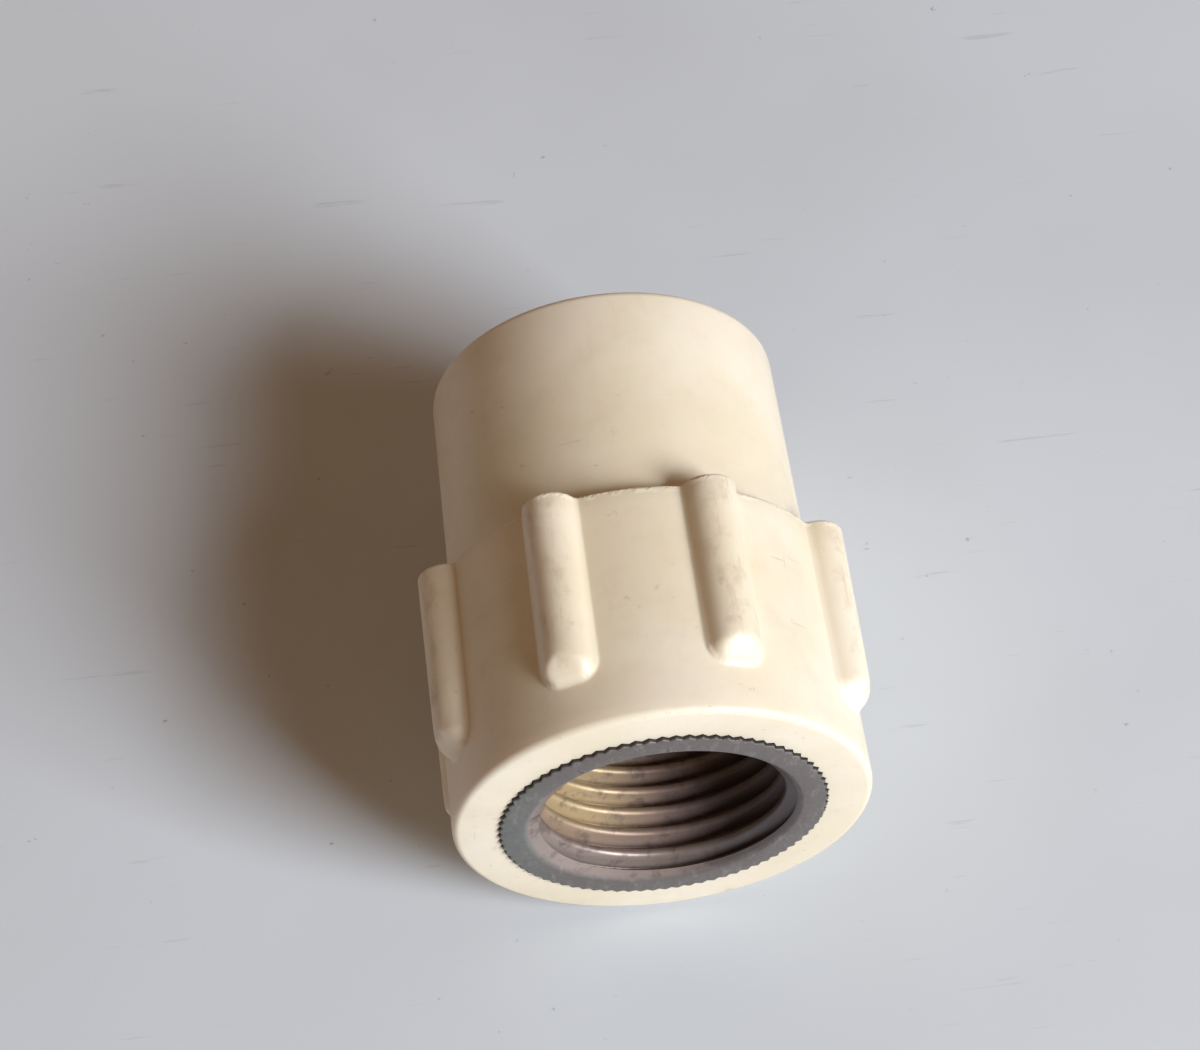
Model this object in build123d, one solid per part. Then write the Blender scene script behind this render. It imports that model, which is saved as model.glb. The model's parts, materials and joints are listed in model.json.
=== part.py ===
from build123d import *
from build123d.topology import SkipClean
import math
import os

os.makedirs("parts", exist_ok=True)

# Reducing transition adaptor, lying on its side on two neighbouring grip ribs.
# Each piece is drawn upright along +Z, mouth of the threaded end at z = 0, and
# laid down at the end: the mouth then faces -Y and the pipe socket faces +Y.

# ---- driving dimensions, in millimetres ------------------------------------
OVERALL_LENGTH = 38.8  # plastic mouth face to pipe socket end
BELL_DIAMETER = 31.8  # plastic around the threaded insert, at the mouth
BELL_LENGTH = 19.4  # plastic mouth face to shoulder
BELL_DRAFT = 0.25  # radius lost from the mouth to the shoulder
WALL = 2.6  # plastic wall at the pipe socket's end

PIPE_DIAMETER = 22.2  # three-quarter inch copper-tube-size plastic pipe
PIPE_PLAY = 0.1  # radial room for solvent cement
STOP_WALL = 5.2  # plastic between the insert and the pipe's stop
SOCKET_LEAD = 0.6  # 45 degree entry of the pipe socket
SOCKET_DRAFT = 0.3  # radius gained from the socket's end to its root

RIB_COUNT = 8
RIB_RISE = 1.9  # crest height over the bell's shoulder radius
RIB_ROUND = 2.2  # crest radius, and half the rib's width
RIB_SETBACK = 3.8  # mouth face to the foot of the rib's 45 degree end

THREAD_MAJOR = 20.955  # half inch pipe thread, parallel, 14 turns to the inch
THREAD_PITCH = 1.814
THREAD_ANGLE = 55  # included angle of the vee, in degrees
DEPTH_PER_PITCH = 0.640327  # the pipe thread's own depth rule
FLAT_PER_PITCH = 1 / 6  # crest width left between two vees

INSERT_WALL = 2.02  # brass outside the thread's major diameter, at the knurl tips
INSERT_LENGTH = 16.3
INSERT_PROUD = 0.3  # brass face ahead of the plastic mouth face
KNURL_TEETH = 80
KNURL_DEPTH = 0.3
LEAD_IN = 1.25  # entry bevel's width on the face
LEAD_DEPTH = 0.8  # entry bevel's depth into the bore
PLAIN_TAIL = 1.8  # unthreaded land at the insert's inner end

SEAL_WIDTH = 1.8
SEAL_RISE = 0.35  # seal ring past the knurl tips, into the plastic
SEAL_BED = 0.75  # groove depth below the knurl's roots
SEAL_SETBACK = 3.2  # insert's inner end to the middle of the inner seal
SEAL_SPACING = 6.72  # between the two seals' middles
STOP_LIP = 0.7  # plastic step covering the insert's inner end, inside its bore

EDGE_ROUND = 0.5  # plastic mouth rim
END_ROUND = 0.7  # pipe socket's outer rim

# ---- derived sizes -----------------------------------------------------------
bell_radius = BELL_DIAMETER / 2
shoulder_radius = bell_radius - BELL_DRAFT
socket_bore = PIPE_DIAMETER / 2 + PIPE_PLAY
socket_radius = socket_bore + WALL
rib_axis_radius = shoulder_radius + RIB_RISE - RIB_ROUND
major_radius = THREAD_MAJOR / 2
minor_radius = major_radius - DEPTH_PER_PITCH * THREAD_PITCH
knurl_radius = major_radius + INSERT_WALL
insert_inner_end = INSERT_LENGTH - INSERT_PROUD
socket_floor = insert_inner_end + STOP_WALL
seat_radius = knurl_radius - KNURL_DEPTH - SEAL_BED
seal_radius = knurl_radius + SEAL_RISE
waterway_radius = minor_radius - STOP_LIP
inner_station = insert_inner_end - SEAL_SETBACK
seal_stations = (inner_station - SEAL_SPACING, inner_station)
axis_height = rib_axis_radius * math.cos(math.pi / RIB_COUNT) + RIB_ROUND
mid_length = (OVERALL_LENGTH - INSERT_PROUD) / 2
SPARE = 1  # how far cutting tools and buried ends run on past a face


def drum(radius, low, high):
    """A plain cylinder between two heights."""
    return Pos(0, 0, low) * Cylinder(
        radius, high - low, align=(Align.CENTER, Align.CENTER, Align.MIN)
    )


def turned(*points):
    """A solid of revolution from (radius, height) corners."""
    outline = Polyline(*[(r, 0, z) for r, z in points], close=True)
    return revolve(make_face(outline), Axis.Z)


def quarter_bore(radius, low, high):
    """A round hole's four quarters, cut one by one so each keeps its own wall."""
    block = Box(2 * radius, 2 * radius, high - low, align=Align.MIN)
    for turn in range(4):
        yield drum(radius, low, high) & (Rot(0, 0, 90 * turn + 45) * Pos(0, 0, low) * block)


def lay_down(piece):
    """Tip the upright piece so its mouth faces -Y, and set it on its ribs."""
    return Pos(0, -mid_length, axis_height) * Rot(-90, 0, 0) * piece


def knurled_band(low, high):
    """Straight-toothed band, one vee per tooth."""
    points = []
    for step in range(2 * KNURL_TEETH):
        radius = knurl_radius - (step % 2) * KNURL_DEPTH
        angle = math.pi * step / KNURL_TEETH
        points.append((radius * math.cos(angle), radius * math.sin(angle)))
    band = make_face(Polyline(*points, close=True))
    return extrude(Pos(0, 0, low) * band, high - low)


def seal_ring(station):
    """A soft ring bedded in the insert's groove, rounded where the plastic grips it."""
    ring = drum(seal_radius, station - SEAL_WIDTH / 2, station + SEAL_WIDTH / 2)
    ring = fillet(ring.edges().filter_by(GeomType.CIRCLE), SEAL_WIDTH * 0.35)
    return ring - drum(seat_radius, station - SEAL_WIDTH, station + SEAL_WIDTH)


def insert_envelope():
    """The brass insert's outside, with both seal grooves turned in it."""
    low, high = seal_stations[0] - SEAL_WIDTH / 2, seal_stations[1] - SEAL_WIDTH / 2
    blank = knurled_band(-INSERT_PROUD, high)
    blank += drum(knurl_radius - KNURL_DEPTH, high, insert_inner_end)
    for station in seal_stations:
        groove = drum(knurl_radius + SPARE, station - SEAL_WIDTH / 2, station + SEAL_WIDTH / 2)
        blank -= groove - drum(seat_radius, station - SEAL_WIDTH, station + SEAL_WIDTH)
    return blank


def thread_turns():
    """The pipe thread's helical vee, one turn after another up to the plain tail."""
    slope = math.tan(math.radians(THREAD_ANGLE / 2))
    overcut = 0.2  # the vee starts this far inside the bore, clear of its wall
    crest_half = THREAD_PITCH * (1 - FLAT_PER_PITCH) / 2
    root_half = crest_half - (major_radius - minor_radius) * slope
    mouth_half = crest_half + overcut * slope
    section = Polyline(
        (minor_radius - overcut, 0, -mouth_half),
        (major_radius, 0, -root_half),
        (major_radius, 0, root_half),
        (minor_radius - overcut, 0, mouth_half),
        close=True,
    )
    path = Helix(THREAD_PITCH, THREAD_PITCH, minor_radius)
    turn = sweep(make_face(section), path=path, is_frenet=True)
    start = -INSERT_PROUD - THREAD_PITCH
    count = int((insert_inner_end - PLAIN_TAIL - start) / THREAD_PITCH)
    for index in range(count):
        yield Pos(0, 0, start + index * THREAD_PITCH) * turn


def make_insert(envelope):
    """Brass insert: knurled outside, bevelled entry and pipe thread inside."""
    with SkipClean():
        insert = envelope
        for quarter in quarter_bore(minor_radius, -INSERT_PROUD - SPARE, insert_inner_end + SPARE):
            insert -= quarter
        bevel = turned(
            (0, -INSERT_PROUD - SPARE),
            (minor_radius + LEAD_IN * (1 + SPARE / LEAD_DEPTH), -INSERT_PROUD - SPARE),
            (minor_radius, LEAD_DEPTH - INSERT_PROUD),
            (0, LEAD_DEPTH - INSERT_PROUD),
        )
        insert -= bevel
        for turn in thread_turns():
            insert -= turn
    return insert


def grip_rib(index):
    """One round-crested rib: sloped end towards the mouth, square end at the shoulder."""
    bar = Pos(rib_axis_radius, 0, 0) * drum(RIB_ROUND, RIB_SETBACK, BELL_LENGTH)
    reach = RIB_RISE + SPARE
    bar -= turned(
        (bell_radius, RIB_SETBACK),
        (bell_radius + reach, RIB_SETBACK),
        (bell_radius + reach, RIB_SETBACK + reach),
    )
    return Rot(0, 0, 360 / RIB_COUNT * (index + 0.5)) * bar


def make_body(cavity):
    """Plastic moulding: bell with ribs, reducing shoulder, pipe socket."""
    bell = turned((0, 0), (bell_radius, 0), (shoulder_radius, BELL_LENGTH), (0, BELL_LENGTH))
    bell = fillet(bell.edges().filter_by(GeomType.CIRCLE).sort_by(Axis.Z)[0], EDGE_ROUND)
    neck = turned(
        (0, BELL_LENGTH - SPARE),
        (socket_radius + SOCKET_DRAFT, BELL_LENGTH - SPARE),
        (socket_radius, OVERALL_LENGTH),
        (0, OVERALL_LENGTH),
    )
    neck = fillet(neck.edges().filter_by(GeomType.CIRCLE).sort_by(Axis.Z)[-1], END_ROUND)
    body = bell + neck
    for index in range(RIB_COUNT):
        body += grip_rib(index)
    body -= cavity
    body -= drum(waterway_radius, insert_inner_end - SPARE, socket_floor + SPARE)
    body -= drum(socket_bore, socket_floor, OVERALL_LENGTH + SPARE)
    body -= turned(
        (0, OVERALL_LENGTH - SOCKET_LEAD),
        (socket_bore, OVERALL_LENGTH - SOCKET_LEAD),
        (socket_bore + SOCKET_LEAD, OVERALL_LENGTH),
        (0, OVERALL_LENGTH),
    )
    return body


envelope = insert_envelope()
seals = [seal_ring(station) for station in seal_stations]
cavity = envelope
for seal in seals:
    cavity += seal

nodes = {
    "plastic_body": make_body(cavity),
    "brass_insert": make_insert(envelope),
    "outer_seal": seals[0],
    "inner_seal": seals[1],
}
for name, piece in nodes.items():
    placed = lay_down(piece)
    solids = placed.solids()
    export_step(solids[0] if len(solids) == 1 else placed, f"parts/{name}.step")
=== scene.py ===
"""A moulded plastic pipe adaptor with a threaded brass insert, lying on a pale table top."""

import json
import logging
import math
from collections.abc import Iterable, Mapping
from dataclasses import dataclass
from enum import Enum
from typing import Any

import bmesh
import bpy
from mathutils import Matrix, Vector


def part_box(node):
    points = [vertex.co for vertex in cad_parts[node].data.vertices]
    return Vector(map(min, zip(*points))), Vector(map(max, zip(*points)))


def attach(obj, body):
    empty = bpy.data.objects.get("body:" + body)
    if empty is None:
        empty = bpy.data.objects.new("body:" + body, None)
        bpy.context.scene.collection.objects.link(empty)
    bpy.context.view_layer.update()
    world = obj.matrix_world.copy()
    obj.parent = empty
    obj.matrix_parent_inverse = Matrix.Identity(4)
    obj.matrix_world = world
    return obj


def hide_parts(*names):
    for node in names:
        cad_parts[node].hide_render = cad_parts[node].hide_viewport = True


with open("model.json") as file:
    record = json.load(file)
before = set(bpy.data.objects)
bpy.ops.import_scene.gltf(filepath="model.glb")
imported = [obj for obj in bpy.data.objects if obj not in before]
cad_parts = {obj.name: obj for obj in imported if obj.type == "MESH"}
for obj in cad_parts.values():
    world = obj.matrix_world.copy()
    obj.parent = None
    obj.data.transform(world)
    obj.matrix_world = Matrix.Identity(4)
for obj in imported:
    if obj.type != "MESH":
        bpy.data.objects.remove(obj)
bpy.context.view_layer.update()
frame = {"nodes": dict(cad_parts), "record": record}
MM = 0.001
PER_METRE = 1000.0
FULL_TURN = 2 * math.pi
END_BAND = 1.0 * MM  # how far in from an end that end's radius is looked for
SAME_PLANE = 0.01 * MM
SHOULDER_STEP = 0.5 * MM  # less than the width of the shoulder's face
SEAT_CLEAR = 0.08 * MM  # gap between the insert and its seat in the plastic
MERGE_GAP = 0.002 * MM
PLASTIC_CREASE = 70.0  # degrees
BRASS_CREASE = 32.0  # degrees
LOG = logging.getLogger("adaptor")


# ---------------------------------------------------------------- the frame's sizes


class Node(Enum):
    """The CAD nodes that this scene dresses or stands in for."""

    BODY = "plastic_body"
    INSERT = "brass_insert"
    OUTER_SEAL = "outer_seal"
    INNER_SEAL = "inner_seal"


class Slot(Enum):
    """The record's material slot names; the script does not use them."""

    PLASTIC = "cream_plastic"
    BRASS = "brass"


@dataclass(frozen=True)
class Fitting:
    """The fitting's sizes in metres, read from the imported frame."""

    axis_z: float
    mouth_y: float
    end_y: float
    shoulder_y: float
    bell_radius: float
    shoulder_radius: float
    crest_radius: float
    neck_root_radius: float
    neck_radius: float
    socket_radius: float
    socket_floor_y: float
    thread_radius: float
    insert_front_y: float
    insert_back_y: float
    knurl_radius: float
    seals: tuple[tuple[float, float, float], ...]

    @staticmethod
    def reach(node: Node, axis_z: float) -> list[tuple[float, float]]:
        """Every vertex of a CAD node as (distance from the axis, y)."""
        mesh = frame["nodes"][node.value].data
        return [(math.hypot(v.co.x, v.co.z - axis_z), v.co.y) for v in mesh.vertices]

    @classmethod
    def from_frame(cls) -> "Fitting":
        """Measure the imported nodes.

        Returns:
            The sizes that every piece of the scene is built from.
        """
        mounts = {mount["name"]: mount for mount in frame["record"]["mounts"]}
        axis_z = mounts["pipe_socket"]["pos_m"][2]
        low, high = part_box(Node.BODY.value)
        front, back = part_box(Node.INSERT.value)
        body = cls.reach(Node.BODY, axis_z)
        bell = max(r for r, y in body if y < low.y + END_BAND)
        shoulder_y = max(y for r, y in body if r > bell)
        edge = [r for r, y in body if abs(y - shoulder_y) < SAME_PLANE]
        return cls(
            axis_z=axis_z,
            mouth_y=low.y,
            end_y=high.y,
            shoulder_y=shoulder_y,
            bell_radius=bell,
            shoulder_radius=min(r for r in edge if r > min(edge) + SHOULDER_STEP),
            crest_radius=max(edge),
            neck_root_radius=min(edge),
            neck_radius=max(r for r, y in body if y > high.y - END_BAND),
            socket_radius=mounts["pipe_socket"]["dims"]["r_mm"] * MM,
            socket_floor_y=mounts["pipe_stop"]["pos_m"][1],
            thread_radius=mounts["female_thread"]["dims"]["r_mm"] * MM,
            insert_front_y=front.y,
            insert_back_y=back.y,
            knurl_radius=max(r for r, _ in cls.reach(Node.INSERT, axis_z)),
            seals=tuple(cls.ring(node, axis_z) for node in (Node.INNER_SEAL, Node.OUTER_SEAL)),
        )

    @classmethod
    def ring(cls, node: Node, axis_z: float) -> tuple[float, float, float]:
        """A seal's outer radius and its two ends along the fitting."""
        low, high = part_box(node.value)
        return max(r for r, _ in cls.reach(node, axis_z)), low.y, high.y


# ---------------------------------------------------------------- shader bench


class Signal:
    """A value socket that Python's operators combine, each adding its Math node."""

    def __init__(self, bench: "Bench", socket: bpy.types.NodeSocket) -> None:
        """Hold the socket and the bench it belongs to."""
        self.bench = bench
        self.socket = socket

    def __add__(self, other: "Value") -> "Signal":
        """Sum."""
        return self.bench.math("ADD", self, other)

    __radd__ = __add__

    def __mul__(self, other: "Value") -> "Signal":
        """Product."""
        return self.bench.math("MULTIPLY", self, other)

    def __sub__(self, other: "Value") -> "Signal":
        """Difference."""
        return self.bench.math("SUBTRACT", self, other)

    def __rsub__(self, other: "Value") -> "Signal":
        """Difference from a number."""
        return self.bench.math("SUBTRACT", other, self)

    def __pow__(self, other: "Value") -> "Signal":
        """Power."""
        return self.bench.math("POWER", self, other)

    def step(self, low: float, high: float) -> "Signal":
        """Zero below low, one above high, a smooth rise between."""
        spread = {"interpolation_type": "SMOOTHSTEP"}
        sockets = {"Value": self, "From Min": low, "From Max": high}
        return self.bench.signal("ShaderNodeMapRange", spread, sockets)


Value = Signal | float
Colour = tuple[float, float, float]
Triple = tuple[float, float, float]


@dataclass(frozen=True)
class Cloud:
    """A noise pattern, and the two levels that a pattern of spots rises between."""

    scale: float
    detail: float
    rough: float = 0.5
    low: float = 0.0
    high: float = 1.0


class Bench:
    """Builds one material's nodes."""

    def __init__(self, name: str) -> None:
        """Start a material with only its output node."""
        self.material = bpy.data.materials.new(name)
        self.material.use_nodes = True
        self.tree = self.material.node_tree
        self.tree.nodes.clear()

    def node(
        self,
        kind: str,
        settings: Mapping[str, Any] | None = None,
        sockets: Mapping[str | int, Any] | None = None,
    ) -> bpy.types.Node:
        """Add a node, set it up, then feed its inputs.

        Args:
            kind: the node's type name.
            settings: attributes, or "stops" for a colour ramp's (place, colour) pairs.
            sockets: input name or number to a value, a Signal or an output socket.

        Returns:
            The new node.
        """
        made = self.tree.nodes.new(kind)
        for key, value in (settings or {}).items():
            if key == "stops":
                self._set_stops(made.color_ramp, value)
            else:
                setattr(made, key, value)
        for key, value in (sockets or {}).items():
            if isinstance(value, Signal):
                value = value.socket
            if isinstance(value, bpy.types.NodeSocket):
                self.tree.links.new(value, made.inputs[key])
            else:
                made.inputs[key].default_value = value
        return made

    @staticmethod
    def _set_stops(ramp: bpy.types.ColorRamp, stops: Iterable[tuple[float, Colour]]) -> None:
        """Give a ramp exactly these stops."""
        stops = list(stops)
        while len(ramp.elements) < len(stops):
            ramp.elements.new(1.0)
        for element, (place, colour) in zip(ramp.elements, stops):
            element.position = place
            element.color = (*colour, 1.0)

    def signal(
        self,
        kind: str,
        settings: Mapping[str, Any] | None = None,
        sockets: Mapping[str | int, Any] | None = None,
        output: str | int = 0,
    ) -> Signal:
        """A new node's output as a Signal."""
        return Signal(self, self.node(kind, settings, sockets).outputs[output])

    def math(self, operation: str, *values: Value) -> Signal:
        """A Math node on numbers or signals."""
        return self.signal("ShaderNodeMath", {"operation": operation}, dict(enumerate(values)))

    def coordinates(self, centre: Vector) -> bpy.types.NodeSocket:
        """Object coordinates in millimetres, counted from a point given in metres."""
        place = self.node("ShaderNodeTexCoord").outputs["Object"]
        shift = tuple(-PER_METRE * c for c in centre)
        scaled = {"Vector": place, "Location": shift, "Scale": (PER_METRE,) * 3}
        return self.node("ShaderNodeMapping", {}, scaled).outputs[0]

    def axes(self, place: bpy.types.NodeSocket) -> tuple[Signal, Signal, Signal]:
        """A place's x, its y, and its distance from the y axis."""
        parts = self.node("ShaderNodeSeparateXYZ", {}, {0: place})
        x, y, z = (Signal(self, parts.outputs[i]) for i in range(3))
        return x, y, (x * x + z * z) ** 0.5

    def stretched(
        self, vector: bpy.types.NodeSocket, scale: Triple, turn: Triple = (0, 0, 0)
    ) -> bpy.types.NodeSocket:
        """Coordinates squeezed and turned for a streaky pattern."""
        sockets = {"Vector": vector, "Scale": scale, "Rotation": turn}
        return self.node("ShaderNodeMapping", {}, sockets).outputs[0]

    def noise(self, vector: bpy.types.NodeSocket, cloud: Cloud) -> Signal:
        """Cloud noise, about 0.25 to 0.75, with features 1 / scale millimetres wide."""
        sockets = {
            "Vector": vector,
            "Scale": cloud.scale,
            "Detail": cloud.detail,
            "Roughness": cloud.rough,
        }
        return self.signal("ShaderNodeTexNoise", {}, sockets, "Fac")

    def spots(self, vector: bpy.types.NodeSocket, cloud: Cloud) -> Signal:
        """Cloud noise cut to zero below the pattern's low level and one above its high."""
        return self.noise(vector, cloud).step(cloud.low, cloud.high)

    def blend(self, factor: Value, under: Any, over: Any) -> bpy.types.NodeSocket:
        """One colour laid over another by a factor."""
        pair = [(*c, 1.0) if isinstance(c, tuple) else c for c in (under, over)]
        sockets = {0: factor, 6: pair[0], 7: pair[1]}
        return self.node("ShaderNodeMix", {"data_type": "RGBA"}, sockets).outputs[2]

    def bump(self, height: Signal, depth_mm: float, strength: float) -> bpy.types.NodeSocket:
        """A surface normal from a height of 0 to 1 that stands for depth_mm."""
        sockets = {"Height": height, "Distance": depth_mm * MM, "Strength": strength}
        return self.node("ShaderNodeBump", {}, sockets).outputs[0]

    def finish(self, **sockets: Any) -> bpy.types.Material:
        """Close the material with a Principled shader.

        Args:
            sockets: the shader's inputs, with underscores for spaces.

        Returns:
            The finished material.
        """
        named = {key.replace("_", " "): value for key, value in sockets.items()}
        shader = self.node("ShaderNodeBsdfPrincipled", {}, named)
        self.node("ShaderNodeOutputMaterial", {}, {"Surface": shader.outputs[0]})
        return self.material


# ---------------------------------------------------------------- finishes


@dataclass(frozen=True)
class CreamPlastic:
    """Satin moulded plastic: clouded cream, handling stains, specks and fine scratches, a painted
    highlight on the shoulder's lip and painted shade on the neck just past it.
    """

    fitting: Fitting
    cream: Colour = (0.87, 0.765, 0.565)
    # This lighter cloud tone is also the colour of the painted highlight on the shoulder's lip.
    pale: Colour = (0.935, 0.835, 0.665)
    # This colour serves the real handling stains and smears, and also the painted shade on the
    # neck just past the shoulder's lip.
    stain_and_shade: Colour = (0.47, 0.33, 0.19)
    soot: Colour = (0.10, 0.085, 0.07)
    roughness: float = 0.42
    clouding: Cloud = Cloud(0.09, 3.0, 0.55, 0.35, 0.68)
    patching: Cloud = Cloud(0.42, 4.0, 0.62, 0.50, 0.72)
    handling: Cloud = Cloud(0.16, 3.0, 0.6, 0.52, 0.74)
    rubbing: Cloud = Cloud(0.9, 4.0, 0.65, 0.50, 0.70)
    smearing: Cloud = Cloud(0.6, 5.0, 0.72, 0.645, 0.74)
    nicking: Cloud = Cloud(1.3, 5.0, 0.7, 0.63, 0.72)
    specking: Cloud = Cloud(1.7, 3.0, 0.6, 0.745, 0.80)
    scoring: Cloud = Cloud(0.8, 2.0, 0.5, 0.68, 0.72)
    scraping: Cloud = Cloud(0.8, 2.0, 0.5, 0.69, 0.73)
    chipping: Cloud = Cloud(1.1, 3.0, 0.6, 0.42, 0.62)
    skin: Cloud = Cloud(2.4, 3.0, 0.55)
    grain: Cloud = Cloud(9.0, 2.0)
    bump_mm: float = 0.02
    bump_strength: float = 0.6

    def build(self) -> bpy.types.Material:
        """Make the material."""
        bench = Bench("cream_plastic_finish")
        place = bench.coordinates(Vector((0, 0, self.fitting.axis_z)))
        _, y, radius = bench.axes(place)

        cloud = bench.noise(place, self.clouding)
        clouded = cloud.step(self.clouding.low, self.clouding.high)
        colour = bench.blend(clouded, self.cream, self.pale)

        crest = radius.step(self.fitting.bell_radius / MM + 0.6, self.fitting.crest_radius / MM)
        patches = bench.spots(place, self.patching)
        handled = bench.spots(place, self.handling)
        along = bench.stretched(place, (1.6, 0.35, 1.6))
        rubbed = bench.spots(along, self.rubbing)
        stains = patches * (0.07 + crest * 0.30) + handled * 0.07 + rubbed * (crest * 0.24 + 0.03)
        colour = bench.blend(stains, colour, self.stain_and_shade)

        smears = bench.spots(place, self.smearing)
        colour = bench.blend(smears * 0.32, colour, self.stain_and_shade)
        mouth_y = self.fitting.mouth_y / MM
        rim = 1.0 - y.step(mouth_y + 0.05, mouth_y + 0.5)
        nicks = bench.spots(place, self.nicking)
        colour = bench.blend(nicks * rim * 0.5, colour, self.soot)

        specks = bench.spots(place, self.specking)
        across = bench.stretched(place, (0.25, 4.2, 0.25), (0.3, 0.5, 0.9))
        aslant = bench.stretched(place, (3.8, 0.22, 0.22), (0.7, 0.2, 0.35))
        scratches = bench.spots(across, self.scoring) + bench.spots(aslant, self.scraping)
        dirt = specks * 0.45 + scratches * (handled * 0.30 + 0.02)
        colour = bench.blend(dirt, colour, self.soot)

        edge_y = self.fitting.shoulder_y / MM
        # Painted highlight: a band just below the shoulder's edge is lightened towards the pale
        # tone, for light caught by the rounded lip; the same band carries the chip bumps.
        lip = y.step(edge_y - 0.7, edge_y - 0.2) * (1.0 - y.step(edge_y + 0.05, edge_y + 0.15))
        chips_and_shade_noise = bench.spots(place, self.chipping)
        colour = bench.blend(lip * 0.35, colour, self.pale)
        # Painted shade: a band on the neck just past the shoulder's edge is laid in the stains'
        # brown, for the lip's contact shadow, broken up by the chip noise.
        neck_shade = y.step(edge_y + 0.05, edge_y + 0.12) * (1.0 - y.step(edge_y + 0.3, edge_y + 1.1))
        colour = bench.blend(neck_shade * (chips_and_shade_noise * 0.3 + 0.25), colour, self.stain_and_shade)

        skin = bench.noise(place, self.skin)
        grain = bench.noise(place, self.grain)
        height = skin * 0.5 + grain * 0.2 - scratches * handled * 0.6
        height = height - specks * 0.2 + lip * chips_and_shade_noise * 5.0
        gloss = self.roughness + (cloud - 0.5) * 0.12 + stains * 0.5 + scratches * 0.1
        return bench.finish(
            Base_Color=colour,
            Roughness=gloss,
            Normal=bench.bump(height, self.bump_mm, self.bump_strength),
            IOR=1.5,
            Subsurface_Weight=0.12,
            Subsurface_Radius=(1.0, 0.55, 0.3),
            Subsurface_Scale=1.2 * MM,
        )


@dataclass(frozen=True)
class TarnishedBrass:
    """Machined brass: grey scuffed face; threads from straw, laid as part painted light on the
    lamp-facing left, through mauve to near black painted shade on the right; the knurl's side is
    painted near black as the seat gap's shadow.
    """

    fitting: Fitting
    # Straw is the brass's own colour; where it is laid on the lamp-facing left of the bore it is
    # partly painted light.
    straw: Colour = (0.59, 0.44, 0.235)
    mauve: Colour = (0.31, 0.215, 0.18)
    # Near black painted shade for the side of the bore turned from the lamp.
    bore_shade: Colour = (0.060, 0.058, 0.068)
    plum: Colour = (0.14, 0.095, 0.085)
    ash: Colour = (0.35, 0.28, 0.245)
    slate: Colour = (0.175, 0.157, 0.145)
    patina: Colour = (0.185, 0.20, 0.185)
    scuff: Colour = (0.42, 0.40, 0.38)
    # Near black painted shadow for the gap between the knurl and its seat.
    gap_shadow: Colour = (0.03, 0.026, 0.024)
    clouding: Cloud = Cloud(0.20, 4.0, 0.6)
    blotching: Cloud = Cloud(0.8, 4.0, 0.65, 0.50, 0.66)
    scuffing: Cloud = Cloud(1.0, 5.0, 0.7, 0.50, 0.78)
    mottling: Cloud = Cloud(2.2, 3.0, 0.65, 0.42, 0.68)
    turning: Cloud = Cloud(1.0, 2.0)
    pitting: Cloud = Cloud(2.6, 3.0, 0.6)
    bump_mm: float = 0.03
    bump_strength: float = 0.6

    def build(self) -> bpy.types.Material:
        """Make the material."""
        bench = Bench("tarnished_brass_finish")
        place = bench.coordinates(Vector((0, self.fitting.insert_front_y, self.fitting.axis_z)))
        x, y, radius = bench.axes(place)

        cloud = bench.noise(place, self.clouding)
        blotch = bench.noise(place, self.blotching)
        blotched = blotch.step(self.blotching.low, self.blotching.high)
        reach = x + (cloud - 0.5) * 9.0
        # Partly painted light: straw brass colour is laid on the left of the bore, the side that
        # faces the lamp.
        lit_straw = (1.0 - reach.step(-7.0, 1.5)) * y.step(1.8, 5.5) * 0.9
        colour = bench.blend(lit_straw, self.mauve, self.straw)
        colour = bench.blend(1.0 - y.step(1.2, 3.4), colour, self.ash)
        # Painted shade: the right of the bore, turned from the lamp, is taken towards near black.
        colour = bench.blend(reach.step(-1.0, 6.5) * 0.8, colour, self.bore_shade)
        colour = bench.blend(blotched * 0.55, colour, self.plum)

        land = 1.0 - y.step(0.02, 0.30)
        drawn_out = bench.stretched(place, (1.3, 1.0, 0.45), (0.0, 0.6, 0.0))
        scuffs = bench.spots(drawn_out, self.scuffing)
        cool = x.step(-13.0, -6.0)
        face = bench.blend(cool, self.patina, self.slate)
        mottle = bench.spots(place, self.mottling)
        face = bench.blend(mottle * 0.35, face, self.plum)
        face = bench.blend(scuffs * 0.6, face, self.scuff)
        colour = bench.blend(land, colour, face)
        # Painted shadow: the knurl's outer side, just past the front face, is laid near black for
        # the shadow in the gap between insert and seat.
        tips = self.fitting.knurl_radius / MM
        side = radius.step(tips - 0.5, tips - 0.25) * y.step(0.02, 0.12)
        colour = bench.blend(side * 0.9, colour, self.gap_shadow)
        shine = land + y.step(1.0, 2.4)

        turning = bench.noise(bench.stretched(place, (0.05, 14.0, 0.05)), self.turning)
        pits = bench.noise(place, self.pitting)
        height = turning * 0.25 + pits * 0.5 + blotch * 0.5
        return bench.finish(
            Base_Color=colour,
            Metallic=0.55 - land * 0.2,
            Roughness=0.27 + blotch * 0.2 + shine * 0.15,
            Normal=bench.bump(height, self.bump_mm, self.bump_strength),
        )


@dataclass(frozen=True)
class SealRubber:
    """Black moulded rubber with a faint bloom."""

    black: Colour = (0.018, 0.018, 0.019)
    bloom: Colour = (0.06, 0.06, 0.058)
    clouding: Cloud = Cloud(0.5, 4.0, 0.6, 0.4, 0.7)
    grain: Cloud = Cloud(6.0, 2.0)
    bump_mm: float = 0.02
    bump_strength: float = 0.6

    def build(self) -> bpy.types.Material:
        """Make the material."""
        bench = Bench("seal_rubber_finish")
        place = bench.coordinates(Vector((0, 0, 0)))
        cloud = bench.noise(place, self.clouding)
        clouded = cloud.step(self.clouding.low, self.clouding.high)
        grain = bench.noise(place, self.grain)
        return bench.finish(
            Base_Color=bench.blend(clouded, self.black, self.bloom),
            Roughness=0.55 + cloud * 0.3,
            Normal=bench.bump(grain, self.bump_mm, self.bump_strength),
        )


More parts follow.
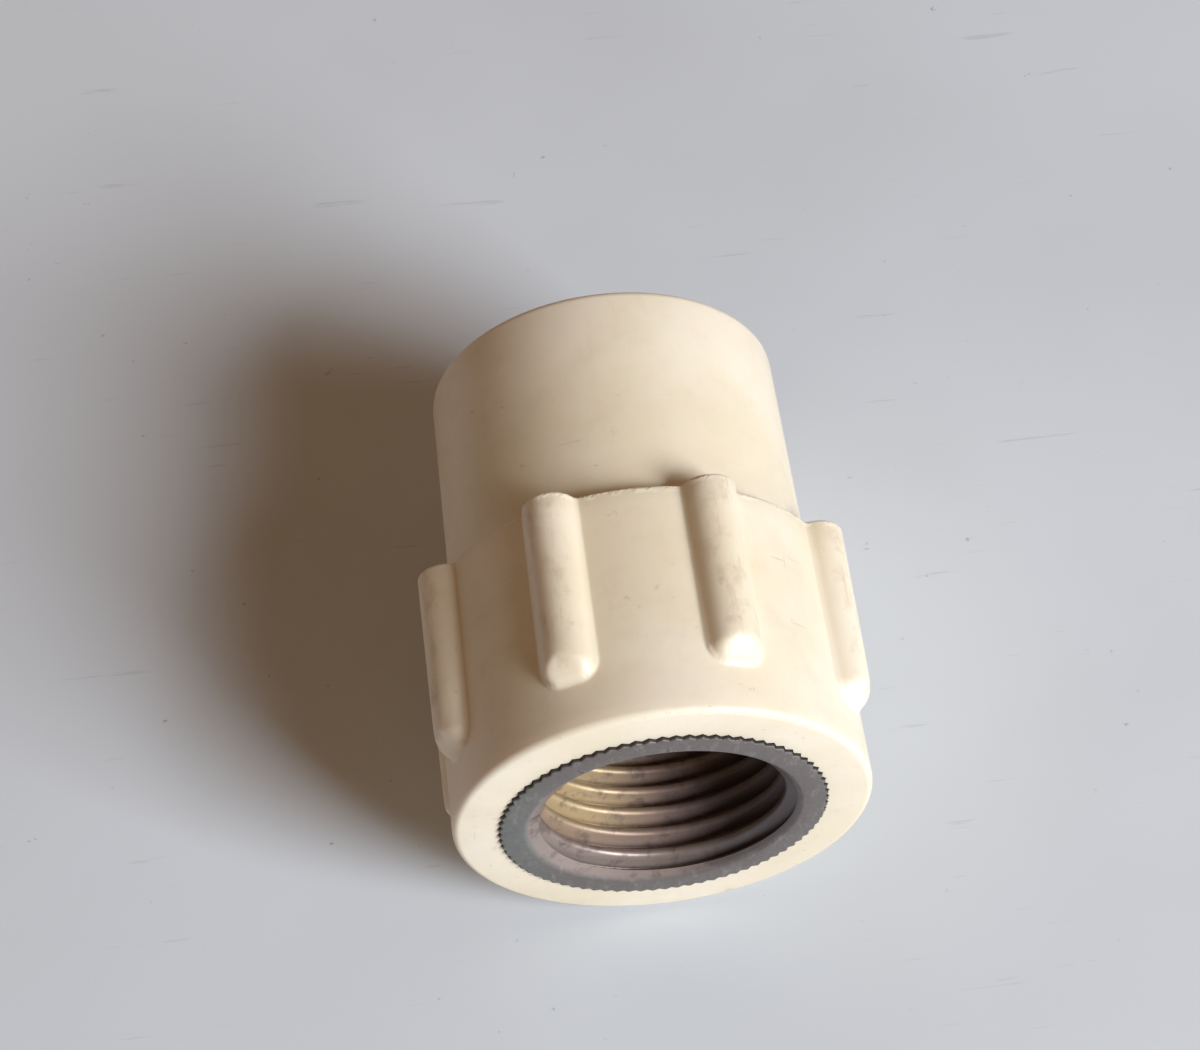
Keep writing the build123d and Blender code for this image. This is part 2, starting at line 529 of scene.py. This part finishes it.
@dataclass(frozen=True)
class PaleLaminate:
    """A pale cool-grey table top with a few specks."""

    light: Colour = (0.705, 0.745, 0.785)
    dull: Colour = (0.665, 0.70, 0.735)
    speck: Colour = (0.22, 0.19, 0.16)
    clouding: Cloud = Cloud(0.02, 3.0, 0.5, 0.35, 0.65)
    specking: Cloud = Cloud(0.55, 4.0, 0.62, 0.69, 0.75)
    marking: Cloud = Cloud(0.7, 3.0, 0.6, 0.66, 0.74)
    skin: Cloud = Cloud(1.5, 2.0)
    roughness: float = 0.5
    bump_mm: float = 0.01
    bump_strength: float = 0.3

    def build(self) -> bpy.types.Material:
        """Make the material."""
        bench = Bench("pale_laminate_finish")
        place = bench.coordinates(Vector((0, 0, 0)))
        clouded = bench.spots(place, self.clouding)
        colour = bench.blend(clouded, self.light, self.dull)
        specks = bench.spots(place, self.specking)
        swept = bench.stretched(place, (0.12, 1.6, 1.0), (0.0, 0.0, 0.7))
        marks = bench.spots(swept, self.marking)
        colour = bench.blend(specks * 0.5 + marks * 0.16, colour, self.speck)
        skin = bench.noise(place, self.skin)
        return bench.finish(
            Base_Color=colour,
            Roughness=self.roughness,
            Normal=bench.bump(skin, self.bump_mm, self.bump_strength),
        )


# ---------------------------------------------------------------- modelling by hand


def clear_selection() -> None:
    """Leave edit mode and deselect everything."""
    if bpy.context.object and bpy.context.object.mode != "OBJECT":
        bpy.ops.object.mode_set(mode="OBJECT")
    bpy.ops.object.select_all(action="DESELECT")


def take(piece: bpy.types.Object) -> None:
    """Make a piece the only selected, active object."""
    clear_selection()
    piece.select_set(True)
    bpy.context.view_layer.objects.active = piece


def bake_place(piece: bpy.types.Object) -> None:
    """Put a piece's place into its mesh, so its object sits at the origin."""
    take(piece)
    bpy.ops.object.transform_apply(location=True, rotation=True, scale=True)


def tidy_shell(piece: bpy.types.Object) -> None:
    """Merge doubles and turn all faces outwards."""
    take(piece)
    bpy.ops.object.mode_set(mode="EDIT")
    bpy.ops.mesh.select_all(action="SELECT")
    bpy.ops.mesh.remove_doubles(threshold=MERGE_GAP)
    bpy.ops.mesh.normals_make_consistent(inside=False)
    bpy.ops.object.mode_set(mode="OBJECT")


def smooth(piece: bpy.types.Object, degrees: float) -> None:
    """Smooth shading, sharp at edges steeper than an angle."""
    take(piece)
    bpy.ops.object.shade_smooth_by_angle(angle=math.radians(degrees))


def cut_away(piece: bpy.types.Object, tool: bpy.types.Object) -> None:
    """Subtract a tool from a piece and throw the tool away."""
    take(piece)
    cut = piece.modifiers.new("cut", "BOOLEAN")
    cut.operation = "DIFFERENCE"
    cut.solver = "EXACT"
    cut.object = tool
    bpy.ops.object.modifier_apply(modifier=cut.name)
    bpy.data.objects.remove(tool)


def room_for(node: Node) -> bpy.types.Object:
    """A merged copy of a CAD node, to cut the room that the node fills."""
    source = frame["nodes"][node.value]
    tool = bpy.data.objects.new(f"{node.value}_room", source.data.copy())
    bpy.context.scene.collection.objects.link(tool)
    tool.matrix_world = source.matrix_world
    bake_place(tool)
    tidy_shell(tool)
    return tool


class RingLathe:
    """Draws a turned shape by carrying one ring of edges along an outline."""

    def __init__(self, name: str, axis_z: float, radius: float, y: float, segments: int) -> None:
        """Add the first ring around the fitting's axis and enter edit mode."""
        clear_selection()
        bpy.ops.mesh.primitive_circle_add(
            vertices=segments,
            radius=radius,
            fill_type="NOTHING",
            location=(0, y, axis_z),
            rotation=(math.pi / 2, 0, 0),
        )
        self.piece = bpy.context.object
        self.piece.name = name
        bake_place(self.piece)
        bpy.ops.object.mode_set(mode="EDIT")
        bpy.ops.mesh.select_all(action="SELECT")
        self.axis_z = axis_z
        self.radius = radius
        self.y = y

    def to(self, radius: float, y: float) -> None:
        """Extrude the ring to a new radius and a new place along the axis."""
        bpy.ops.mesh.extrude_edges_move(
            TRANSFORM_OT_translate={"value": (0, y - self.y, 0)},
        )
        grow = radius / self.radius
        centre = (0, y, self.axis_z)
        bpy.ops.transform.resize(value=(grow, 1, grow), center_override=centre)
        self.radius, self.y = radius, y

    def round_to(self, radius: float, y: float, turn: int, steps: int) -> None:
        """Follow a quarter circle to a point.

        Args:
            radius: the ring's radius at the arc's end.
            y: the ring's place at the arc's end.
            turn: 1 where the arc leaves along the radius, -1 where it leaves along the axis.
            steps: extrusions in the arc.
        """
        start_r, start_y = self.radius, self.y
        for step in range(1, steps + 1):
            angle = math.pi / 2 * step / steps
            early, late = math.sin(angle), 1 - math.cos(angle)
            along_r, along_y = (early, late) if turn > 0 else (late, early)
            self.to(start_r + (radius - start_r) * along_r, start_y + (y - start_y) * along_y)

    def run_to(self, radius: float, y: float, steps: int) -> None:
        """Go straight to a point in equal extrusions."""
        start_r, start_y = self.radius, self.y
        for step in range(1, steps + 1):
            share = step / steps
            self.to(start_r + (radius - start_r) * share, start_y + (y - start_y) * share)

    def make_round(self) -> None:
        """Bring a ring that carries bumps back to a true circle of the lathe's radius."""
        centre = (0, self.y, self.axis_z)
        bpy.ops.transform.tosphere(value=1.0, center_override=centre)
        mesh = bmesh.from_edit_mesh(self.piece.data)
        ring = [v.co for v in mesh.verts if v.select]
        found = sum(math.hypot(co.x, co.z - self.axis_z) for co in ring) / len(ring)
        grow = self.radius / found
        bpy.ops.transform.resize(value=(grow, 0, grow), center_override=centre)


# ---------------------------------------------------------------- sub-assemblies


@dataclass
class BellMoulding:
    """The one-piece plastic moulding: bell with grip ribs, shoulder and pipe socket."""

    fitting: Fitting
    segments: int = 960
    rib_count: int = 8
    rib_round: float = 2.1 * MM
    rib_setback: float = 4.0 * MM
    rib_corner: float = 1.5 * MM
    rib_fillet: float = 0.25 * MM
    foot_step: float = 0.25 * MM
    corner_power: float = 6.0
    edge_round: float = 0.3 * MM
    rim_round: float = 0.55 * MM
    neck_fillet: float = 0.35 * MM
    end_round: float = 0.7 * MM
    socket_lead: float = 0.6 * MM
    stop_lip: float = 0.7 * MM
    seat_stock: float = 0.8 * MM
    seal_play: float = 0.01 * MM
    foot_lead: float = 0.7 * MM
    foot_run: float = 0.9 * MM
    wall_rings: tuple[int, int, int] = (3, 26, 10)

    def rib_depth(self, across: float, y: float) -> float:
        """How far inside the rib's outline a point is, its end's corners being rounded.

        Args:
            across: distance from the rib's middle plane.
            y: the point's place along the fitting.

        Returns:
            The distance to the outline, below zero outside it.
        """
        corner = self.rib_corner
        ahead = self.fitting.mouth_y + self.rib_setback + corner - y
        beside = max(across - (self.rib_round - corner), 0.0)
        end = corner - (math.hypot(beside, ahead) if ahead > 0 else ahead)
        return min(self.rib_round - across, end)

    def rib_profile(self, off: float, wall: float, y: float, drawn_in: float) -> float:
        """Height of a rib's rounded section over the wall.

        Args:
            off: angle from the rib's middle, in radians.
            wall: the wall's own radius.
            y: place along the fitting.
            drawn_in: how far the section shrinks, where the shoulder's edge is rounded.

        Returns:
            The height, zero outside the rib and its fillet.
        """
        centre = self.fitting.crest_radius - self.rib_round
        inside = self.rib_depth(centre * abs(math.sin(off)), y) - drawn_in
        half = self.rib_round - drawn_in
        across = half - min(inside, half)
        spare = half**2 - across**2
        height = centre * math.cos(off) + math.sqrt(spare) - wall if spare > 0 else 0.0
        fillet = self.rib_fillet
        near = min(max(fillet + inside, 0.0), fillet)
        return max(height, fillet - math.sqrt(fillet**2 - near**2))

    def rib_lift(self, x: float, y: float, z: float) -> float:
        """How far its nearest rib raises a point of the bell's wall, counted from the axis."""
        f = self.fitting
        step = FULL_TURN / self.rib_count
        turns = math.atan2(z, x) / step - 0.5
        wall = math.hypot(x, z)
        drawn_in = f.shoulder_radius - wall if y > f.shoulder_y - self.edge_round else 0.0
        height = self.rib_profile((turns - round(turns)) * step, wall, y, drawn_in)
        slope = y - (f.mouth_y + self.rib_setback) + self.foot_step
        if height <= 0 or slope <= 0:
            return 0.0
        power = self.corner_power
        return (height**-power + slope**-power) ** (-1 / power)

    def raise_ribs(self, piece: bpy.types.Object) -> None:
        """Push the ribs straight out from the axis with weighted Displace modifiers."""
        f = self.fitting
        bpy.ops.object.mode_set(mode="OBJECT")
        tallest = f.crest_radius - f.shoulder_radius + self.rib_fillet
        lifts = []
        for vertex in piece.data.vertices:
            x, y, z = vertex.co.x, vertex.co.y, vertex.co.z - f.axis_z
            lift = self.rib_lift(x, y, z) if y > f.mouth_y + self.rim_round else 0.0
            if lift > 0:
                share = lift / tallest / math.hypot(x, z)
                lifts.append((vertex.index, {"X": x * share, "Z": z * share}))
        for axis in ("X", "Z"):
            for side in (1, -1):
                group = piece.vertex_groups.new(name=f"ribs_{axis}")
                for index, pull in lifts:
                    if side * pull[axis] > 0:
                        group.add([index], side * pull[axis], "REPLACE")
                push = piece.modifiers.new("push", "DISPLACE")
                push.vertex_group = group.name
                push.mid_level = 0.0
                push.strength = side * tallest
                push.direction = axis
                bpy.ops.object.modifier_apply(modifier=push.name)
                piece.vertex_groups.clear()
        bpy.ops.object.mode_set(mode="EDIT")

    def bell_wall(self, lathe: RingLathe) -> None:
        """Carry the bell's wall to the shoulder, with close rings at the ribs' sloped ends."""
        f = self.fitting
        start_y, start_r = lathe.y, lathe.radius
        edge_y = f.shoulder_y - self.edge_round
        foot_y = f.mouth_y + self.rib_setback
        tall = f.crest_radius - f.shoulder_radius
        stops = (foot_y - self.foot_lead, foot_y + tall + self.foot_run, edge_y)
        for y, steps in zip(stops, self.wall_rings):
            share = (y - start_y) / (edge_y - start_y)
            lathe.run_to(start_r + (f.shoulder_radius - start_r) * share, y, steps)

    def build(self) -> bpy.types.Object:
        """Lathe the moulding from its mouth round to its seat, raising ribs on the way."""
        f = self.fitting
        seat = f.knurl_radius - self.seat_stock
        lathe = RingLathe("bell_moulding", f.axis_z, seat, f.mouth_y, self.segments)
        lathe.to(f.bell_radius - self.rim_round, f.mouth_y)
        lathe.round_to(f.bell_radius, f.mouth_y + self.rim_round, 1, 5)
        self.bell_wall(lathe)
        lathe.round_to(f.shoulder_radius - self.edge_round, f.shoulder_y, -1, 4)
        self.raise_ribs(lathe.piece)
        lathe.to(f.neck_root_radius + self.neck_fillet, f.shoulder_y)
        lathe.make_round()
        lathe.round_to(f.neck_root_radius, f.shoulder_y + self.neck_fillet, 1, 3)
        lathe.run_to(f.neck_radius, f.end_y - self.end_round, 4)
        lathe.round_to(f.neck_radius - self.end_round, f.end_y, -1, 5)
        lathe.to(f.socket_radius + self.socket_lead, f.end_y)
        lathe.to(f.socket_radius, f.end_y - self.socket_lead)
        lathe.to(f.socket_radius, f.socket_floor_y)
        lathe.to(f.thread_radius - self.stop_lip, f.socket_floor_y)
        lathe.to(f.thread_radius - self.stop_lip, f.insert_back_y)
        lathe.to(seat, f.insert_back_y)
        for radius, low_y, high_y in f.seals:
            lathe.to(seat, high_y + self.seal_play)
            lathe.to(radius + self.seal_play, high_y + self.seal_play)
            lathe.to(radius + self.seal_play, low_y - self.seal_play)
            lathe.to(seat, low_y - self.seal_play)
        lathe.to(seat, f.mouth_y)
        bpy.ops.object.mode_set(mode="OBJECT")
        tidy_shell(lathe.piece)
        return lathe.piece


@dataclass
class ThreadedInsert:
    """The brass insert: knurled band, entry bevel and pipe thread."""

    fitting: Fitting
    teeth: int = 80
    tooth_depth: float = 0.3 * MM
    pitch: float = 1.814 * MM
    thread_depth: float = 1.1616 * MM
    crest_round: float = 0.22
    root_round: float = 0.054
    flank: float = 27.5
    phase: float = 1.22
    ease: float = 0.13 * MM
    bevel: float = 1.25 * MM
    bevel_depth: float = 0.8 * MM
    lip_round: float = 0.32 * MM
    steps: int = 144
    arc_steps: int = 4
    plug_over: float = 0.3
    cone_over: float = 1.0 * MM
    lip_shares: tuple[float, ...] = (0.12, 0.3, 0.5, 0.7, 0.85, 1.0)
    ease_segments: int = 3
    ease_angle: float = 25.0

    def blank(self, grow: float = 0.0) -> bpy.types.Object:
        """A knurled slug: a disc's rim drawn in at every other corner, then extruded.

        Args:
            grow: how much larger all round, for the tool that cuts the plastic's seat.

        Returns:
            The closed slug.
        """
        f = self.fitting
        front, back = f.insert_front_y - grow, f.insert_back_y
        clear_selection()
        bpy.ops.mesh.primitive_circle_add(
            vertices=2 * self.teeth,
            radius=f.knurl_radius + grow,
            fill_type="NGON",
            location=(0, front, f.axis_z),
            rotation=(math.pi / 2, 0, 0),
        )
        slug = bpy.context.object
        slug.name = "threaded_insert"
        bake_place(slug)
        bpy.ops.object.mode_set(mode="EDIT")
        bpy.ops.mesh.select_mode(type="VERT")
        bpy.ops.mesh.select_all(action="DESELECT")
        rim = bmesh.from_edit_mesh(slug.data)
        for vertex in rim.verts:
            vertex.select = vertex.index % 2 == 1
        draw_in = 1 - self.tooth_depth / f.knurl_radius
        centre = (0, front, f.axis_z)
        bpy.ops.transform.resize(value=(draw_in, 1, draw_in), center_override=centre)
        bpy.ops.mesh.select_all(action="SELECT")
        bpy.ops.mesh.extrude_region_move(TRANSFORM_OT_translate={"value": (0, back - front, 0)})
        bpy.ops.object.mode_set(mode="OBJECT")
        tidy_shell(slug)
        return slug

    def thread_outline(self) -> list[tuple[float, float]]:
        """One pitch of the 55 degree form, worn round, as (radius, place along the axis)."""
        minor, major = self.fitting.thread_radius, self.fitting.thread_radius + self.thread_depth
        crest, root = self.crest_round * self.pitch, self.root_round * self.pitch
        sweep, count = math.radians(90 - self.flank), self.arc_steps
        arc = [sweep * k / count for k in range(count + 1)]
        half = [(minor + crest * (1 - math.cos(a)), crest * math.sin(a)) for a in arc]
        half += [
            (major - root * (1 - math.cos(a)), self.pitch / 2 - root * math.sin(a))
            for a in reversed(arc[::2])
        ]
        return half + [(r, self.pitch - along) for r, along in reversed(half[:-1])]

    def tap(self) -> bpy.types.Object:
        """The thread's own shape as a solid plug: one pitch of outline driven round by Screw."""
        f = self.fitting
        start = f.insert_front_y - self.phase * self.pitch
        turns = math.ceil((f.insert_back_y - start) / self.pitch + 0.5)
        clear_selection()
        bpy.ops.mesh.primitive_plane_add(size=self.pitch, location=(0, start, f.axis_z))
        plug = bpy.context.object
        plug.name = "tap"
        bake_place(plug)
        bpy.ops.object.mode_set(mode="EDIT")
        bpy.ops.mesh.select_all(action="SELECT")
        bpy.ops.mesh.merge(type="CENTER")
        radius, along = 0.0, 0.0
        for number, (next_radius, next_along) in enumerate(self.thread_outline()):
            step = {"value": (next_radius - radius, next_along - along, 0)}
            if number:
                bpy.ops.mesh.extrude_vertices_move(TRANSFORM_OT_translate=step)
            else:
                bpy.ops.transform.translate(**step)
            radius, along = next_radius, next_along
        bpy.ops.object.mode_set(mode="OBJECT")
        centre = bpy.data.objects.new("thread_axis", None)
        bpy.context.scene.collection.objects.link(centre)
        centre.location = (0, 0, f.axis_z)
        wind = plug.modifiers.new("wind", "SCREW")
        wind.axis = "Y"
        wind.object = centre
        wind.angle = FULL_TURN
        wind.screw_offset = self.pitch
        wind.iterations = turns
        wind.steps = wind.render_steps = self.steps
        wind.use_merge_vertices = False
        bpy.context.view_layer.update()
        take(plug)
        bpy.ops.object.modifier_apply(modifier=wind.name)
        bpy.data.objects.remove(centre)
        tidy_shell(plug)
        over = self.plug_over * self.pitch
        self.trim(plug, f.insert_front_y - over, -1)
        self.trim(plug, f.insert_back_y + over, 1)
        tidy_shell(plug)
        return plug

    @staticmethod
    def trim(piece: bpy.types.Object, y: float, side: int) -> None:
        """Cut a piece off square at y and close it, throwing away the part on one side."""
        take(piece)
        bpy.ops.object.mode_set(mode="EDIT")
        bpy.ops.mesh.select_all(action="SELECT")
        bpy.ops.mesh.bisect(
            plane_co=(0, y, 0), plane_no=(0, side, 0), use_fill=True, clear_outer=True
        )
        bpy.ops.object.mode_set(mode="OBJECT")

    def countersink(self) -> bpy.types.Object:
        """A flared cone that cuts the entry bevel and rounds its lip."""
        f = self.fitting
        over, lip, front = self.cone_over, self.lip_round, f.insert_front_y
        tilt = math.atan2(self.bevel_depth, self.bevel)
        flare = f.thread_radius + self.bevel + lip * math.tan(tilt / 2)
        curve = [tilt * share for share in self.lip_shares]
        points = [(flare - lip * math.sin(a), front + lip * (1 - math.cos(a))) for a in curve]
        lathe = RingLathe("countersink", f.axis_z, points[0][0], front - over, self.steps)
        for radius, y in points:
            lathe.to(radius, y)
        deep = self.bevel_depth * (1 + over / self.bevel)
        lathe.to(f.thread_radius - over, front + deep)
        bpy.ops.mesh.select_all(action="SELECT")
        bpy.ops.mesh.fill_holes(sides=0)
        bpy.ops.object.mode_set(mode="OBJECT")
        tidy_shell(lathe.piece)
        return lathe.piece

    def build(self) -> bpy.types.Object:
        """Break the slug's sharp edges, tap it and bevel its entry."""
        slug = self.blank()
        take(slug)
        ease = slug.modifiers.new("ease", "BEVEL")
        ease.width = self.ease
        ease.segments = self.ease_segments
        ease.limit_method = "ANGLE"
        ease.angle_limit = math.radians(self.ease_angle)
        bpy.ops.object.modifier_apply(modifier=ease.name)
        cut_away(slug, self.tap())
        cut_away(slug, self.countersink())
        return slug


# ---------------------------------------------------------------- stage, light and camera


@dataclass(frozen=True)
class TableTop:
    """The pale surface that the fitting lies on."""

    size: float = 3.0
    squares: int = 8

    def build(self) -> None:
        """Lay the table top at the floor's height."""
        clear_selection()
        bpy.ops.mesh.primitive_grid_add(
            x_subdivisions=self.squares,
            y_subdivisions=self.squares,
            size=self.size,
            location=(0, 0, 0),
        )
        top = bpy.context.object
        top.name = "table_top"
        top.data.materials.append(PaleLaminate().build())


@dataclass(frozen=True)
class SoftLamp:
    """A square area light aimed at the fitting."""

    name: str
    toward: Triple
    distance: float
    size: float
    power: float
    colour: Colour

    def build(self, aim: Vector) -> None:
        """Hang the lamp in its direction, facing the aim."""
        data = bpy.data.lights.new(self.name, "AREA")
        data.shape = "SQUARE"
        data.size = self.size
        data.energy = self.power
        data.color = self.colour
        lamp = bpy.data.objects.new(self.name, data)
        bpy.context.scene.collection.objects.link(lamp)
        away = Vector(self.toward).normalized()
        lamp.location = aim + away * self.distance
        lamp.rotation_euler = away.to_track_quat("Z", "Y").to_euler()


@dataclass(frozen=True)
class Viewpoint:
    """The camera: angles in degrees round the aim point, lengths in metres."""

    azimuth: float = -4.56
    elevation: float = 58.23
    roll: float = -2.72
    distance: float = 0.2513
    lens: float = 95.1
    aim: Triple = (-0.00167, 0.00683, -0.00006)
    sensor_mm: float = 36.0
    nearest: float = 0.01

    def build(self, centre: Vector) -> None:
        """Place the camera, aimed from the fitting's centre, and make it the scene's."""
        data = bpy.data.cameras.new("camera")
        data.lens = self.lens
        data.sensor_width = self.sensor_mm
        data.clip_start = self.nearest
        camera = bpy.data.objects.new("camera", data)
        bpy.context.scene.collection.objects.link(camera)
        turn, lift = math.radians(self.azimuth), math.radians(self.elevation)
        back = Vector(
            (math.sin(turn) * math.cos(lift), -math.cos(turn) * math.cos(lift), math.sin(lift))
        )
        upright = back.to_track_quat("Z", "Y").to_matrix().to_4x4()
        tilt = Matrix.Rotation(math.radians(self.roll), 4, "Z")
        stand = centre + Vector(self.aim) + back * self.distance
        camera.matrix_world = Matrix.Translation(stand) @ upright @ tilt
        bpy.context.scene.camera = camera


def set_ambient(colour: Colour, strength: float) -> None:
    """Even light from all round."""
    world = bpy.data.worlds.new("room")
    world.use_nodes = True
    background = world.node_tree.nodes["Background"]
    background.inputs["Color"].default_value = (*colour, 1.0)
    background.inputs["Strength"].default_value = strength
    bpy.context.scene.world = world


# ---------------------------------------------------------------- putting it together


def install(
    piece: bpy.types.Object, material: bpy.types.Material, stands_for: Node
) -> None:
    """Dress a finished piece and hand it to the frame."""
    piece.data.materials.clear()
    piece.data.materials.append(material)
    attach(piece, "root")
    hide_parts(stands_for.value)
    LOG.info("%s: %d faces for %s", piece.name, len(piece.data.polygons), stands_for.value)


def dress_cad_node(node: Node, material: bpy.types.Material) -> None:
    """Give a CAD node that stays as it is a better finish."""
    piece = frame["nodes"][node.value]
    piece.data.materials.clear()
    piece.data.materials.append(material)
    LOG.info("%s: CAD mesh kept", node.value)


def main() -> None:
    """Build the pieces, then the stage, lamps and camera."""
    logging.basicConfig(level=logging.INFO, format="%(name)s | %(message)s")
    fitting = Fitting.from_frame()
    insert = ThreadedInsert(fitting)
    moulding = BellMoulding(fitting)
    body, bush = moulding.build(), insert.build()
    cut_away(body, insert.blank(SEAT_CLEAR))
    rubber = SealRubber().build()
    for node in (Node.OUTER_SEAL, Node.INNER_SEAL):
        dress_cad_node(node, rubber)
        cut_away(bush, room_for(node))
    tidy_shell(body)
    tidy_shell(bush)
    smooth(body, PLASTIC_CREASE)
    smooth(bush, BRASS_CREASE)
    install(body, CreamPlastic(fitting).build(), Node.BODY)
    install(bush, TarnishedBrass(fitting).build(), Node.INSERT)

    TableTop().build()
    aim = Vector((0, 0, fitting.axis_z))
    SoftLamp(
        name="window",
        toward=(0.84, -0.78, 0.74),
        distance=1.0,
        size=0.45,
        power=12.8,
        colour=(0.94, 1.0, 1.08),
    ).build(aim)
    set_ambient(colour=(1.0, 0.62, 0.36), strength=0.18)
    Viewpoint().build(aim)
    bpy.context.scene.view_settings.view_transform = "Standard"


if __name__ == "__main__":
    main()
